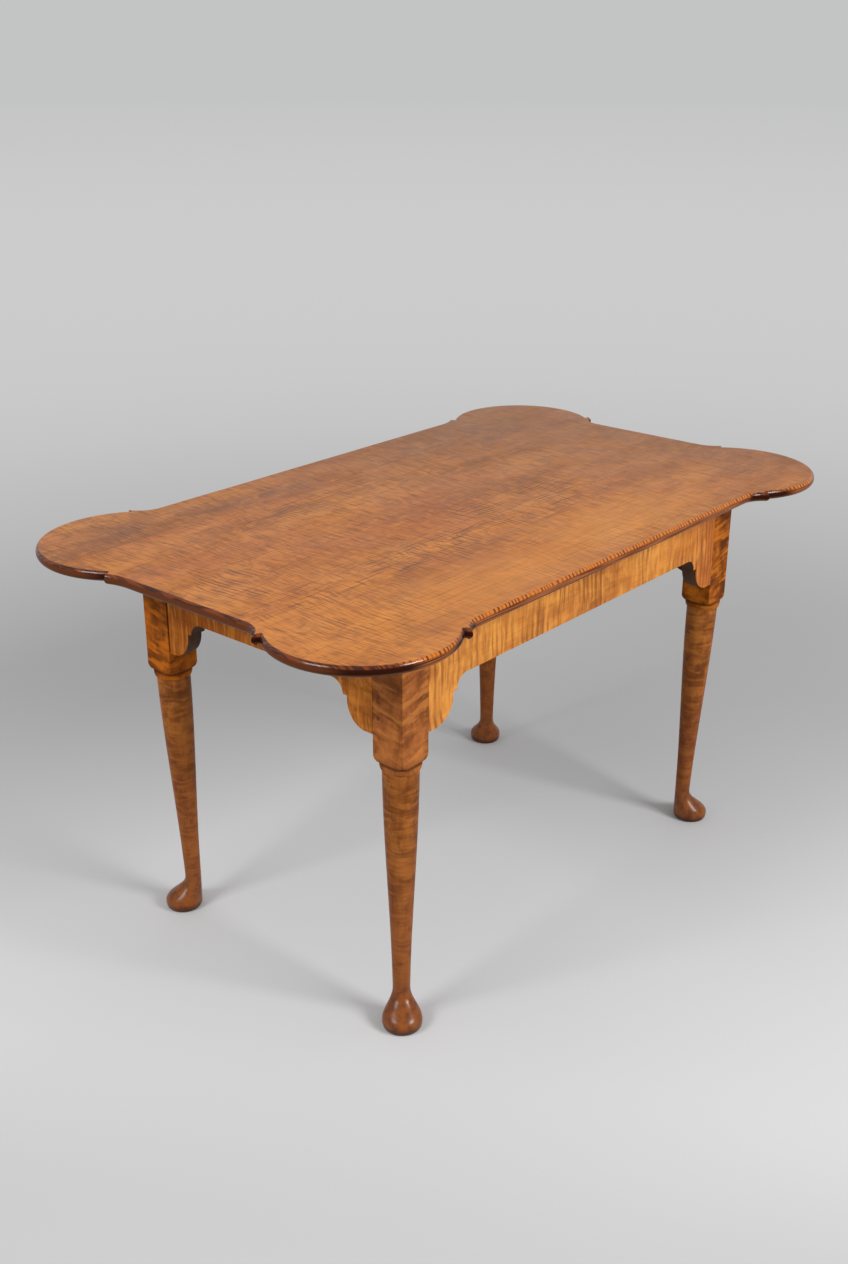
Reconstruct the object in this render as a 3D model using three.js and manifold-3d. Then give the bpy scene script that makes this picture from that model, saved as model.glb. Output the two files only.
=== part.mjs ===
// Porringer tea table in figured maple, put together the way a joiner would build it.
// Millimetres, +Z up, +X along the long side. The origin is on the floor under the middle of the top.

import * as THREE from "three";
import { mergeVertices } from "three/addons/utils/BufferGeometryUtils.js";
import Module from "manifold-3d";

const wasm = await Module();
wasm.setup();

const quarterTurn = Math.PI / 2;

// Clearances and overruns
const fit = 0.3; // gap round a tenon, a peg, a screw and a button's tongue
const overrun = 2; // how far a cutter runs past the face it opens

// The whole table
const tableHeight = 686;
const frameLength = 889; // over the outer faces of the posts
const frameWidth = 551.2;

// Top
const topThickness = 16;
const topStraightLength = 1182; // between the straight end edges
const topStraightWidth = 700; // between the straight side edges
const lobeSweep = THREE.MathUtils.degToRad(81); // from the middle of a lobe to where it stops
const earStep = 11; // step from the end of a lobe out to the sharp ear
const earCoveRun = 40; // length of straight edge that the cove beside the ear takes up
const edgeRoundDepth = 6; // how far the rounded edge reaches in
const frontSeam = 110; // from the middle of the top forward to the front glue line
const backSeam = 243; // from the middle of the top back to the back glue line

// The lobes were sawn by eye: each has its own radius, and its two ears stand out from the straight
// edges beside them by different amounts.
const frontLeftLobeRadius = 136;
const frontLeftEndEar = 23; // beyond the straight end edge
const frontLeftSideEar = 19; // beyond the straight side edge
const frontRightLobeRadius = 145;
const frontRightEndEar = 19;
const frontRightSideEar = 23;
const backLeftLobeRadius = 146;
const backLeftEndEar = 8;
const backLeftSideEar = 31;
const backRightLobeRadius = 136;
const backRightEndEar = 35;
const backRightSideEar = 11;

// Legs
const postWidth = 56.2;
const postBelowBracket = 28; // the post stays square this far below the apron's brackets
const upperRoundHeight = 12.5;
const roundLedge = 1.8; // from the lower round out to the foot of the upper one
const roundFillet = 2; // upright between the two rounds
const lowerRoundHeight = 11;
const lowerRoundWidth = 3;
const shaftLedge = 0.9; // from the shaft out to the foot of the lower round
const shaftInset = 0.8; // from the face of the post in to the top of the shaft
const shaftHighDrop = 0.9; // how much the taper has thinned where it is steered, high up
const shaftLowRise = 1.8; // how much it is over the ankle where it is steered, low down
const ankleRadius = 13.6;
const ankleHeight = 62;
const ankleLean = 9; // the ankle sits this far in from the post's axis, along the diagonal
const footThrow = 9; // the foot sits this far out from it
const footRadius = 31.2;
const footWidestHeight = 12;
const footUndercut = 4.7; // from the widest place in to the edge of the sole
const footFlare = 1.5; // power that draws the foot in quickly above its widest place

// Aprons
const apronThickness = 28;
const apronDepth = 108.3; // below the top, between the brackets
const bracketFlat = 14; // level stretch beside the post
const bracketRoundWidthLong = 41; // on the front and back aprons
const bracketRoundWidthShort = 35; // on the two end aprons
const bracketRoundHeight = 41;
const bracketStepRise = 4;
const bracketStepWidth = 8;
const bracketCoveRadius = 21;

// Tenons and pegs
const tenonSetback = 5.2; // from the outer face of the apron to the tenon
const tenonThickness = 9.6;
const tenonTipWall = 3.4; // from the tip of a tenon to the tenon that comes in from the other side
const tenonEndGap = 1.5;
const tenonLowerShoulder = 12;
const tenonUpperShoulder = 25;
const pegRadius = 2.8;
const pegTipWall = 4.4; // from the tip of a peg to the peg that comes in from the other side
const pegSetback = 11; // from the joint line into the post
const lowPegRise = 16.3; // from the lower edge of the tenon
const highPegRise = 48.3;

// Buttons and screws that hold the top
const buttonWidth = 30;
const buttonLength = 36; // without its tongue
const tongueLength = 9;
const tongueHeight = 8;
const tongueDrop = 10; // from the underside of the top to the tongue
const tongueLip = 2; // wood of the button below its tongue
const slotSideSlack = 6; // lets the button slide as the top moves
const slotEndGap = 1;
const screwSetback = 22; // from the inner face of the apron to the screw
const screwRadius = 2.2;
const screwHeadRadius = 4.4;
const screwHeadHeight = 3;
const screwBite = 9; // length of screw in the top
const screwTip = 3;
const buttonReachLong = 250; // outer buttons on the long aprons, from the middle
const buttonReachShort = 150; // buttons on the end aprons, from the middle

// Counts
const lobeQuarterSegments = 14;
const lobeReturnSegments = 6;
const earCoveSegments = 5;
const edgeRoundSegments = 3;
const turnedSides = 24;
const footBaseSegments = 3;
const footTopSegments = 8;
const shaftSegments = 7;
const roundSegments = 4;
const scrollSegments = 6;
const pegSides = 12;
const screwSides = 12;

// Sizes that follow
const frameTop = tableHeight - topThickness;
const apronBottom = frameTop - apronDepth;
const bracketBottom = apronBottom - bracketCoveRadius - bracketStepRise - bracketRoundHeight;
const shoulderTop = bracketBottom - postBelowBracket;
const shaftTop = shoulderTop - upperRoundHeight - roundFillet - lowerRoundHeight;
const postHalf = postWidth / 2;
const postCorner = postHalf * Math.SQRT2;
const shaftTopRadius = postHalf - shaftInset;
const lowerRoundFoot = shaftTopRadius + shaftLedge;
const lowerRoundTop = lowerRoundFoot + lowerRoundWidth;
const upperRoundFoot = lowerRoundTop + roundLedge;
const footBaseRadius = footRadius - footUndercut;
const halfFrameLength = frameLength / 2;
const halfFrameWidth = frameWidth / 2;
const longApronLength = frameLength - postWidth - postWidth;
const shortApronLength = frameWidth - postWidth - postWidth;
const tenonBottom = bracketBottom + tenonLowerShoulder;
const tenonTop = frameTop - tenonUpperShoulder;
const tenonLength = postWidth - tenonSetback - tenonThickness - tenonTipWall;
const pegLength = postWidth - pegSetback - pegRadius - pegTipWall;
const lowPegHeight = tenonBottom + lowPegRise;
const highPegHeight = tenonBottom + highPegRise;
const buttonHeight = tongueDrop + tongueHeight + tongueLip;
const earTurn = quarterTurn / 2 + lobeSweep; // direction of an ear from the centre of its lobe

// Finishes
const topMaple = new THREE.MeshStandardMaterial({ color: 0xb06a34, roughness: 0.38, metalness: 0 });
const legMaple = new THREE.MeshStandardMaterial({ color: 0x8a4a20, roughness: 0.36, metalness: 0 });
const apronMaple = new THREE.MeshStandardMaterial({ color: 0xb8762f, roughness: 0.42, metalness: 0 });
const pegWood = new THREE.MeshStandardMaterial({ color: 0x4a2a16, roughness: 0.5, metalness: 0 });
const buttonWood = new THREE.MeshStandardMaterial({ color: 0xa9773f, roughness: 0.7, metalness: 0 });
const screwSteel = new THREE.MeshStandardMaterial({ color: 0x8d8f92, roughness: 0.35, metalness: 1 });

// A closed geometry becomes a solid that can be cut and joined.
function solidOf(geometry) {
  geometry.deleteAttribute("normal");
  geometry.deleteAttribute("uv");
  const merged = mergeVertices(geometry);
  const vertProperties = new Float32Array(merged.attributes.position.array);
  const triVerts = new Uint32Array(merged.index.array);
  return new wasm.Manifold(new wasm.Mesh({ numProp: 3, vertProperties, triVerts }));
}

// A solid becomes a geometry again.
function geometryOf(solid) {
  const mesh = solid.getMesh();
  const geometry = new THREE.BufferGeometry();
  const places = new Float32Array(mesh.vertProperties);
  geometry.setAttribute("position", new THREE.BufferAttribute(places, mesh.numProp));
  geometry.setIndex(new THREE.BufferAttribute(new Uint32Array(mesh.triVerts), 1));
  geometry.computeVertexNormals();
  return geometry;
}

// Box between two corners.
function boxBetween(low, high) {
  const box = new THREE.Box3(low, high);
  const size = box.getSize(new THREE.Vector3());
  const middle = box.getCenter(new THREE.Vector3());
  return new THREE.BoxGeometry(size.x, size.y, size.z).translate(middle.x, middle.y, middle.z);
}

// Round bar along +Y that starts at y, with its axis at x and z.
function roundBar(radius, length, sides, x, y, z) {
  const bar = new THREE.CylinderGeometry(radius, radius, length, sides);
  return bar.translate(x, y + length / 2, z);
}

// A turned profile of [radius, height] pairs, spun about +Z.
function turned(profile, sides) {
  const points = profile.map(([radius, height]) => new THREE.Vector2(radius, height));
  return new THREE.LatheGeometry(points, sides).rotateX(quarterTurn);
}

// Each side of the frame has its own frame of reference: +X along the apron, +Y from the outer face
// into the table, and heights as they are.
const sides = [
  { name: "front", x: 0, y: -halfFrameWidth, turn: 0, long: true },
  { name: "back", x: 0, y: halfFrameWidth, turn: Math.PI, long: true },
  { name: "left", x: -halfFrameLength, y: 0, turn: -quarterTurn, long: false },
  { name: "right", x: halfFrameLength, y: 0, turn: quarterTurn, long: false },
];

function sideMatrix(side) {
  const matrix = new THREE.Matrix4().makeRotationZ(side.turn);
  return matrix.setPosition(side.x, side.y, 0);
}

function apronLengthOf(side) {
  return side.long ? longApronLength : shortApronLength;
}

function buttonPlaces(side) {
  return side.long ? [-buttonReachLong, 0, buttonReachLong] : [-buttonReachShort, buttonReachShort];
}

// Outline of the top

// In order round the top, seen from above
const lobes = [
  { turn: [1, 1], radius: backRightLobeRadius, endEar: backRightEndEar, sideEar: backRightSideEar },
  { turn: [-1, 1], radius: backLeftLobeRadius, endEar: backLeftEndEar, sideEar: backLeftSideEar },
  { turn: [-1, -1], radius: frontLeftLobeRadius, endEar: frontLeftEndEar, sideEar: frontLeftSideEar },
  { turn: [1, -1], radius: frontRightLobeRadius, endEar: frontRightEndEar, sideEar: frontRightSideEar },
];

function arcPoints(centreX, centreY, radius, from, to, segments) {
  const points = [];
  for (let i = 0; i <= segments; i += 1) {
    const angle = from + (to - from) * (i / segments);
    points.push([centreX + radius * Math.cos(angle), centreY + radius * Math.sin(angle)]);
  }
  return points;
}

// How far the centre of a lobe lies in from the straight edge that one of its ears stands out from
function lobeInset(radius, ear) {
  return (radius + earStep) * Math.sin(earTurn) - ear;
}

// Centre of a lobe as it would lie at +X +Y, from the middle of the frame
function lobeCentre(lobe) {
  const x = topStraightLength / 2 - lobeInset(lobe.radius, lobe.endEar);
  const y = topStraightWidth / 2 - lobeInset(lobe.radius, lobe.sideEar);
  return new THREE.Vector2(x, y);
}

// One end of a lobe, round its centre: the last of the arc past +Y, the step out to the ear, and the
// cove that runs from the ear into the straight edge.
function lobeEnd(radius, ear) {
  const earX = (radius + earStep) * Math.cos(earTurn);
  const coveRadius = (earCoveRun * earCoveRun + ear * ear) / (ear + ear);
  const coveX = earX - earCoveRun;
  const coveY = lobeInset(radius, ear) + coveRadius;
  const earAngle = Math.atan2(ear - coveRadius, earCoveRun);
  const lobeReturn = arcPoints(0, 0, radius, quarterTurn, earTurn, lobeReturnSegments);
  const cove = arcPoints(coveX, coveY, coveRadius, earAngle, -quarterTurn, earCoveSegments);
  return [...lobeReturn, ...cove];
}

// A corner of the top, from the straight end edge round the lobe to the straight side edge, as it
// lies at +X +Y.
function cornerPoints(lobe) {
  const centre = lobeCentre(lobe);
  const sideEnd = lobeEnd(lobe.radius, lobe.sideEar);
  const shortEnd = lobeEnd(lobe.radius, lobe.endEar);
  const lobeQuarter = arcPoints(0, 0, lobe.radius, 0, quarterTurn, lobeQuarterSegments);
  const corner = [...shortEnd.map(([x, y]) => [y, x]).reverse(), ...lobeQuarter.slice(1, -1), ...sideEnd];
  return corner.map(([x, y]) => new THREE.Vector2(x, y).add(centre));
}

function topShape() {
  const outline = lobes.flatMap((lobe) => {
    const turn = new THREE.Vector2(...lobe.turn);
    const corner = cornerPoints(lobe).map((point) => point.multiply(turn));
    return turn.x * turn.y > 0 ? corner : corner.reverse();
  });
  return new THREE.Shape(outline);
}

// Where the middle of the top lies over the frame
function topMiddle() {
  const reach = lobes.map((lobe) => {
    const turn = new THREE.Vector2(...lobe.turn);
    return lobeCentre(lobe).addScalar(lobe.radius).multiply(turn);
  });
  return new THREE.Box2().setFromPoints(reach).getCenter(new THREE.Vector2());
}

// The top with its edge rounded above and below.
function topSolid() {
  const half = topThickness / 2;
  const geometry = new THREE.ExtrudeGeometry(topShape(), {
    depth: 0,
    bevelEnabled: true,
    bevelThickness: half,
    bevelSize: edgeRoundDepth,
    bevelOffset: -edgeRoundDepth,
    bevelSegments: edgeRoundSegments,
  });
  return solidOf(geometry.translate(0, 0, frameTop + half));
}

// Screws and buttons, in a side's own frame of reference

function screwProfile(grow) {
  const headBottom = frameTop - buttonHeight;
  const neck = headBottom + screwHeadHeight;
  const tip = frameTop + screwBite;
  return [
    [0, headBottom - (grow > 0 ? overrun : 0)],
    [screwHeadRadius + grow, headBottom - (grow > 0 ? overrun : 0)],
    [screwHeadRadius + grow, headBottom],
    [screwRadius + grow, neck],
    [screwRadius + grow, tip - screwTip],
    [0, tip + grow],
  ];
}

function screwGeometry(x, grow) {
  return turned(screwProfile(grow), screwSides).translate(x, apronThickness + screwSetback, 0);
}

function buttonGeometry(x) {
  const heel = apronThickness + fit;
  const tongueTip = apronThickness - tongueLength;
  const tongueTop = frameTop - tongueDrop;
  const outline = new THREE.Shape();
  outline.moveTo(heel, frameTop);
  outline.lineTo(heel, tongueTop);
  outline.lineTo(tongueTip, tongueTop);
  outline.lineTo(tongueTip, tongueTop - tongueHeight);
  outline.lineTo(heel, tongueTop - tongueHeight);
  outline.lineTo(heel, frameTop - buttonHeight);
  outline.lineTo(heel + buttonLength, frameTop - buttonHeight);
  outline.lineTo(heel + buttonLength, frameTop);
  outline.closePath();
  const block = new THREE.ExtrudeGeometry(outline, { depth: buttonWidth, bevelEnabled: false });
  // The outline was drawn in depth and height: stand it up and run it along the apron.
  block.rotateX(quarterTurn).rotateZ(quarterTurn).translate(x - buttonWidth / 2, 0, 0);
  const screwHole = solidOf(screwGeometry(x, fit));
  return geometryOf(solidOf(block).subtract(screwHole));
}

function buttonSlot(x) {
  const half = buttonWidth / 2 + slotSideSlack;
  const slotTop = frameTop - tongueDrop + fit;
  const slotFloor = slotTop - tongueHeight - fit - fit;
  const slotEnd = apronThickness - tongueLength - slotEndGap;
  return boxBetween(
    new THREE.Vector3(x - half, slotEnd, slotFloor),
    new THREE.Vector3(x + half, apronThickness + overrun, slotTop),
  );
}

// Aprons

// Right-hand half of an apron's lower edge, from its middle out to the post.
function traceScroll(outline, halfLength, roundWidth) {
  const roundEdge = halfLength - bracketFlat - roundWidth;
  const stepEdge = roundEdge - bracketStepWidth;
  const stepHeight = apronBottom - bracketCoveRadius;
  const roundCentre = stepHeight - bracketStepRise;
  outline.lineTo(stepEdge - bracketCoveRadius, apronBottom);
  outline.absarc(stepEdge - bracketCoveRadius, stepHeight, bracketCoveRadius, quarterTurn, 0, true);
  outline.lineTo(roundEdge, stepHeight);
  outline.lineTo(roundEdge, roundCentre);
  const roundX = roundEdge + roundWidth;
  const roundEnd = Math.PI + quarterTurn;
  outline.absellipse(roundX, roundCentre, roundWidth, bracketRoundHeight, Math.PI, roundEnd, false);
  outline.lineTo(halfLength, bracketBottom);
}

function apronOutline(side) {
  const halfLength = apronLengthOf(side) / 2;
  const roundWidth = side.long ? bracketRoundWidthLong : bracketRoundWidthShort;
  const half = new THREE.Shape();
  half.moveTo(0, apronBottom);
  traceScroll(half, halfLength, roundWidth);
  const lower = half.getPoints(scrollSegments);
  const points = [
    ...lower.slice(1),
    new THREE.Vector2(halfLength, frameTop),
    new THREE.Vector2(-halfLength, frameTop),
    ...lower.slice(1).map((point) => new THREE.Vector2(-point.x, point.y)).reverse(),
  ];
  return new THREE.Shape(points);
}

// Tenon on one end of an apron, or its mortise when it is grown by a clearance.
function tenonBox(side, end, grow) {
  const root = apronLengthOf(side) / 2 - overrun;
  const tip = apronLengthOf(side) / 2 + tenonLength + (grow > 0 ? tenonEndGap : 0);
  const near = Math.min(end * root, end * tip);
  const far = Math.max(end * root, end * tip);
  return boxBetween(
    new THREE.Vector3(near, tenonSetback - grow, tenonBottom - grow),
    new THREE.Vector3(far, tenonSetback + tenonThickness + grow, tenonTop + grow),
  );
}

function pegPlace(side, end) {
  return end * (apronLengthOf(side) / 2 + pegSetback);
}

function pegHole(side, end, height) {
  const length = overrun + pegLength + fit;
  return roundBar(pegRadius + fit, length, pegSides, pegPlace(side, end), -overrun, height);
}

function apronGeometry(side) {
  const board = new THREE.ExtrudeGeometry(apronOutline(side), { depth: apronThickness, bevelEnabled: false });
  board.rotateX(quarterTurn).translate(0, apronThickness, 0);
  let apron = solidOf(board);
  for (const end of [-1, 1]) {
    apron = apron.add(solidOf(tenonBox(side, end, 0)));
    for (const height of [lowPegHeight, highPegHeight]) {
      apron = apron.subtract(solidOf(pegHole(side, end, height)));
    }
  }
  for (const x of buttonPlaces(side)) {
    apron = apron.subtract(solidOf(buttonSlot(x)));
  }
  return geometryOf(apron);
}

// Legs

// How far the foot has swollen at a height: 0 at the ankle, 1 where it is widest.
function swellAt(height) {
  const rise = (height - footWidestHeight) / (ankleHeight - footWidestHeight);
  return ((1 + Math.cos(Math.PI * rise)) / 2) ** footFlare;
}

// How far the turning's centre lies out along the diagonal at a height. It follows the swell of the
// foot, so the inner side of the leg runs straight down.
function throwAt(height) {
  if (height >= shaftTop) return 0;
  if (height >= ankleHeight) return -ankleLean * (shaftTop - height) / (shaftTop - ankleHeight);
  if (height <= footWidestHeight) return footThrow;
  return (footThrow + ankleLean) * swellAt(height) - ankleLean;
}

// Foot and shaft, from the floor up to just inside the shoulder.
function shaftProfile() {
  const profile = [[0, 0]];
  for (let i = 0; i <= footBaseSegments; i += 1) {
    const angle = quarterTurn * (i / footBaseSegments);
    const radius = footBaseRadius + (footRadius - footBaseRadius) * Math.sin(angle);
    profile.push([radius, footWidestHeight * (1 - Math.cos(angle))]);
  }
  for (let i = 1; i <= footTopSegments; i += 1) {
    const height = footWidestHeight + (ankleHeight - footWidestHeight) * (i / footTopSegments);
    profile.push([ankleRadius + (footRadius - ankleRadius) * swellAt(height), height]);
  }
  const third = (shaftTop - ankleHeight) / 3;
  const taper = new THREE.CubicBezierCurve(
    new THREE.Vector2(ankleRadius, ankleHeight),
    new THREE.Vector2(ankleRadius + shaftLowRise, ankleHeight + third),
    new THREE.Vector2(shaftTopRadius - shaftHighDrop, shaftTop - third),
    new THREE.Vector2(shaftTopRadius, shaftTop),
  );
  for (const point of taper.getPoints(shaftSegments).slice(1)) {
    profile.push([point.x, point.y]);
  }
  profile.push([shaftTopRadius, shaftTop + overrun], [0, shaftTop + overrun]);
  return profile;
}

// The two rounds under the square post, and a plain bar above them that is wider than the post.
function shoulderProfile() {
  const wide = postCorner + fit;
  const ledge = shaftTop + lowerRoundHeight;
  const upperFoot = ledge + roundFillet;
  const profile = [[0, shaftTop]];
  for (let i = 0; i <= roundSegments; i += 1) {
    const angle = quarterTurn * (i / roundSegments);
    const radius = lowerRoundFoot + (lowerRoundTop - lowerRoundFoot) * Math.sin(angle);
    profile.push([radius, ledge - lowerRoundHeight * Math.cos(angle)]);
  }
  profile.push([lowerRoundTop, upperFoot]);
  for (let i = 0; i <= roundSegments; i += 1) {
    const angle = quarterTurn * (i / roundSegments);
    const radius = upperRoundFoot + (wide - upperRoundFoot) * Math.sin(angle);
    profile.push([radius, shoulderTop - upperRoundHeight * Math.cos(angle)]);
  }
  profile.push([wide, frameTop + overrun], [0, frameTop + overrun]);
  return profile;
}

function leggedCorner(alongX, alongY) {
  const shaft = turned(shaftProfile(), turnedSides);
  const place = shaft.attributes.position;
  for (let i = 0; i < place.count; i += 1) {
    const shift = throwAt(place.getZ(i)) * Math.SQRT1_2;
    place.setX(i, place.getX(i) + shift * alongX);
    place.setY(i, place.getY(i) + shift * alongY);
  }
  const square = boxBetween(
    new THREE.Vector3(-postHalf, -postHalf, shaftTop - overrun),
    new THREE.Vector3(postHalf, postHalf, frameTop),
  );
  const post = solidOf(turned(shoulderProfile(), turnedSides)).intersect(solidOf(square));
  return post.add(solidOf(shaft));
}

function legGeometry(alongX, alongY) {
  const x = alongX * (halfFrameLength - postHalf);
  const y = alongY * (halfFrameWidth - postHalf);
  let leg = leggedCorner(alongX, alongY).translate([x, y, 0]);
  for (const side of sides) {
    const matrix = sideMatrix(side);
    for (const end of [-1, 1]) {
      leg = leg.subtract(solidOf(tenonBox(side, end, fit).applyMatrix4(matrix)));
      for (const height of [lowPegHeight, highPegHeight]) {
        leg = leg.subtract(solidOf(pegHole(side, end, height).applyMatrix4(matrix)));
      }
    }
  }
  return geometryOf(leg);
}

// The assembly

const table = new THREE.Group();
const assembly = new THREE.Group();
assembly.position.set(-topMiddle().x, -topMiddle().y, 0);
table.add(assembly);

function addPiece(parent, name, geometry, material) {
  const mesh = new THREE.Mesh(geometry, material);
  mesh.name = name;
  parent.add(mesh);
}

// Top boards, cut from one outline along the glue lines
function addTop() {
  const boards = [
    { name: "top_board_front", from: -topStraightWidth, to: -frontSeam },
    { name: "top_board_middle", from: -frontSeam, to: backSeam },
    { name: "top_board_back", from: backSeam, to: topStraightWidth },
  ];
  let top = topSolid();
  for (const side of sides) {
    for (const x of buttonPlaces(side)) {
      top = top.subtract(solidOf(screwGeometry(x, fit).applyMatrix4(sideMatrix(side))));
    }
  }
  for (const board of boards) {
    const slab = boxBetween(
      new THREE.Vector3(-topStraightLength, board.from, frameTop - overrun),
      new THREE.Vector3(topStraightLength, board.to, tableHeight + overrun),
    );
    addPiece(assembly, board.name, geometryOf(top.intersect(solidOf(slab))), topMaple);
  }
}

function addLegs() {
  for (const [depthName, alongY] of [["front", -1], ["back", 1]]) {
    for (const [widthName, alongX] of [["left", -1], ["right", 1]]) {
      addPiece(assembly, `leg_${depthName}_${widthName}`, legGeometry(alongX, alongY), legMaple);
    }
  }
}

function addSide(side) {
  const group = new THREE.Group();
  group.position.set(side.x, side.y, 0);
  group.rotation.z = side.turn;
  assembly.add(group);
  addPiece(group, `apron_${side.name}`, apronGeometry(side), apronMaple);
  for (const [endName, end] of [["a", -1], ["b", 1]]) {
    for (const [levelName, height] of [["low", lowPegHeight], ["high", highPegHeight]]) {
      const peg = roundBar(pegRadius, pegLength, pegSides, pegPlace(side, end), 0, height);
      addPiece(group, `peg_${side.name}_${endName}_${levelName}`, peg, pegWood);
    }
  }
  buttonPlaces(side).forEach((x, index) => {
    const number = index + 1;
    addPiece(group, `top_button_${side.name}_${number}`, buttonGeometry(x), buttonWood);
    addPiece(group, `button_screw_${side.name}_${number}`, screwGeometry(x, 0), screwSteel);
  });
}

addTop();
addLegs();
sides.forEach(addSide);

export default table;
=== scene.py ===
# Porringer tea table in figured maple: how it looks.
# Metres, +Z up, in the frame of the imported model.

import math

import bmesh
import bpy
from mathutils import Matrix, Vector, noise


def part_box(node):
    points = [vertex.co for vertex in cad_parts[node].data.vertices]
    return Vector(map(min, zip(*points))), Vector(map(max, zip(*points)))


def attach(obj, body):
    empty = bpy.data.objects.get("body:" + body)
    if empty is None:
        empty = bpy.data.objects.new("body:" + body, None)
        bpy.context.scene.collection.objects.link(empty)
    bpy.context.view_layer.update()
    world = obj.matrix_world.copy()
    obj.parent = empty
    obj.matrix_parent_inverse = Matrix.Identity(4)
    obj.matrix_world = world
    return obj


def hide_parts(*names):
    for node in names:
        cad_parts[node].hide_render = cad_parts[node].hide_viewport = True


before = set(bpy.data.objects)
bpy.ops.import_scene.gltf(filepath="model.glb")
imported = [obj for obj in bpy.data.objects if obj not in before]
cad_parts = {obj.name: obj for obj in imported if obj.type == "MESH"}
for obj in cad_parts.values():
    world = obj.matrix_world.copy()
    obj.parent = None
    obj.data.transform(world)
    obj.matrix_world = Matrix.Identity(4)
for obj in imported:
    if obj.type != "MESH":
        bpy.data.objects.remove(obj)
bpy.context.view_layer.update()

QUARTER = math.pi / 2
X, Y, Z = range(3)

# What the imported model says
(_, front_seam, frame_top), (_, back_seam, top_height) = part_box("top_board_middle")
(_, frame_front, bracket_bottom), (tenon_reach, apron_inside, _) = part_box("apron_front")
frame_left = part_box("apron_left")[0][0]
frame_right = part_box("apron_right")[1][0]
frame_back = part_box("apron_back")[1][1]
apron_thickness = apron_inside - frame_front
low_peg_height = sum(corner[2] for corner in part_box("peg_front_a_low")) / 2
high_peg_height = sum(corner[2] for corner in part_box("peg_front_a_high")) / 2
peg_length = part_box("peg_front_a_low")[1][1] - frame_front
button_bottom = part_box("top_button_front_1")[0][2]

frame_length = frame_right - frame_left
frame_width = frame_back - frame_front
middle_x = (frame_left + frame_right) / 2
middle_y = (frame_front + frame_back) / 2

# Top
top_straight_length = 1.182
top_straight_width = 0.700
lobe_sweep = math.radians(81)
ear_step = 0.011
ear_cove_run = 0.040
edge_round_depth = 0.006
edge_round_wander = 0.16  # how much the hand-worked edge varies, as a share of its depth
edge_wander_scale = 9.0
edge_point_spacing = 0.012

# Legs
post_width = 0.0562
post_arris = 0.0008
post_below_bracket = 0.028
upper_round_height = 0.0125
lower_round_height = 0.011
lower_round_width = 0.003
round_ledge = 0.0018
round_fillet = 0.002
shaft_ledge = 0.0009
shaft_inset = 0.0008
shaft_high_drop = 0.0009
shaft_low_rise = 0.0018
ankle_radius = 0.0136
ankle_height = 0.062
ankle_lean = 0.009
foot_throw = 0.009
foot_radius = 0.0312
foot_widest_height = 0.012
foot_undercut = 0.0047
foot_flare = 1.5
foot_rub_top = 0.100
foot_rub_full = 0.035
# Where the painted shade under the foot starts and where it is full
sole_shade_top = 0.016
sole_shade_full = 0.004
shaft_dark_top = 0.40
shaft_dark_full = 0.12

# Aprons
apron_depth = 0.1083
apron_arris = 0.0006
shrinkage_gap = 0.0034  # the left apron has shrunk away from the back post
bracket_flat = 0.014
bracket_round_width_long = 0.041
bracket_round_width_short = 0.035
bracket_round_height = 0.041
bracket_step_rise = 0.004
bracket_step_width = 0.008
bracket_cove_radius = 0.021
tenon_setback = 0.0052
tenon_thickness = 0.0096
tenon_lower_shoulder = 0.012
tenon_upper_shoulder = 0.025
tenon_end_gap = 0.0015

# Pegs, buttons and screws
peg_radius = 0.0028
peg_setback = 0.011
peg_proud = 0.00025
peg_end_round = 0.0005
button_width = 0.030
button_length = 0.036
button_arris = 0.0006
tongue_length = 0.009
tongue_height = 0.008
tongue_drop = 0.010
slot_side_slack = 0.006
slot_end_gap = 0.001
screw_setback = 0.022
screw_radius = 0.0022
screw_head_radius = 0.0044
screw_head_height = 0.003
screw_head_rim = 0.0009
screw_slot_width = 0.0009
screw_slot_depth = 0.001
screw_bite = 0.009
screw_tip = 0.003
button_reach_long = 0.250
button_reach_short = 0.150

fit = 0.0003
overrun = 0.002
tiny = 1e-6
mitre_limit = 0.3  # keeps a sharp corner of an outline from moving in too far
underside_normal = -0.9  # a face of the top is bare where it points further down than this
outer_side_normal = -0.3  # and one of an apron where it points less far out

# How many straight pieces draw each curve
arris_steps = 3
lobe_steps = 52
lobe_return_steps = 20
cove_steps = 14
edge_steps = 14
foot_edge_steps = 10
foot_steps = 30
shaft_steps = 40
lower_round_steps = 12
upper_round_steps = 14
bracket_cove_steps = 18
bracket_round_steps = 26
shaft_sides = 96
shoulder_sides = 128
peg_hole_sides = 20
peg_sides = 9  # whittled, not turned
screw_sides = 32

# Sizes that follow
apron_bottom = frame_top - apron_depth
shoulder_top = bracket_bottom - post_below_bracket
shaft_top = shoulder_top - upper_round_height - round_fillet - lower_round_height
ledge_height = shaft_top + lower_round_height
post_half = post_width / 2
post_corner = post_half * math.sqrt(2)
shaft_top_radius = post_half - shaft_inset
lower_round_foot = shaft_top_radius + shaft_ledge
lower_round_top = lower_round_foot + lower_round_width
upper_round_foot = lower_round_top + round_ledge
long_half = frame_length / 2 - post_width
short_half = frame_width / 2 - post_width
tenon_length = tenon_reach - middle_x - long_half
tenon_bottom = bracket_bottom + tenon_lower_shoulder
tenon_top = frame_top - tenon_upper_shoulder
ear_turn = QUARTER / 2 + lobe_sweep


# Meshes

def steps(start, stop, count):
    """count + 1 even steps from start to stop."""
    return [start + (stop - start) * i / count for i in range(count + 1)]


def arc(x, y, radius_x, radius_y, start, stop, count):
    turns = steps(start, stop, count)
    return [Vector((x + radius_x * math.cos(a), y + radius_y * math.sin(a))) for a in turns]


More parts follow.
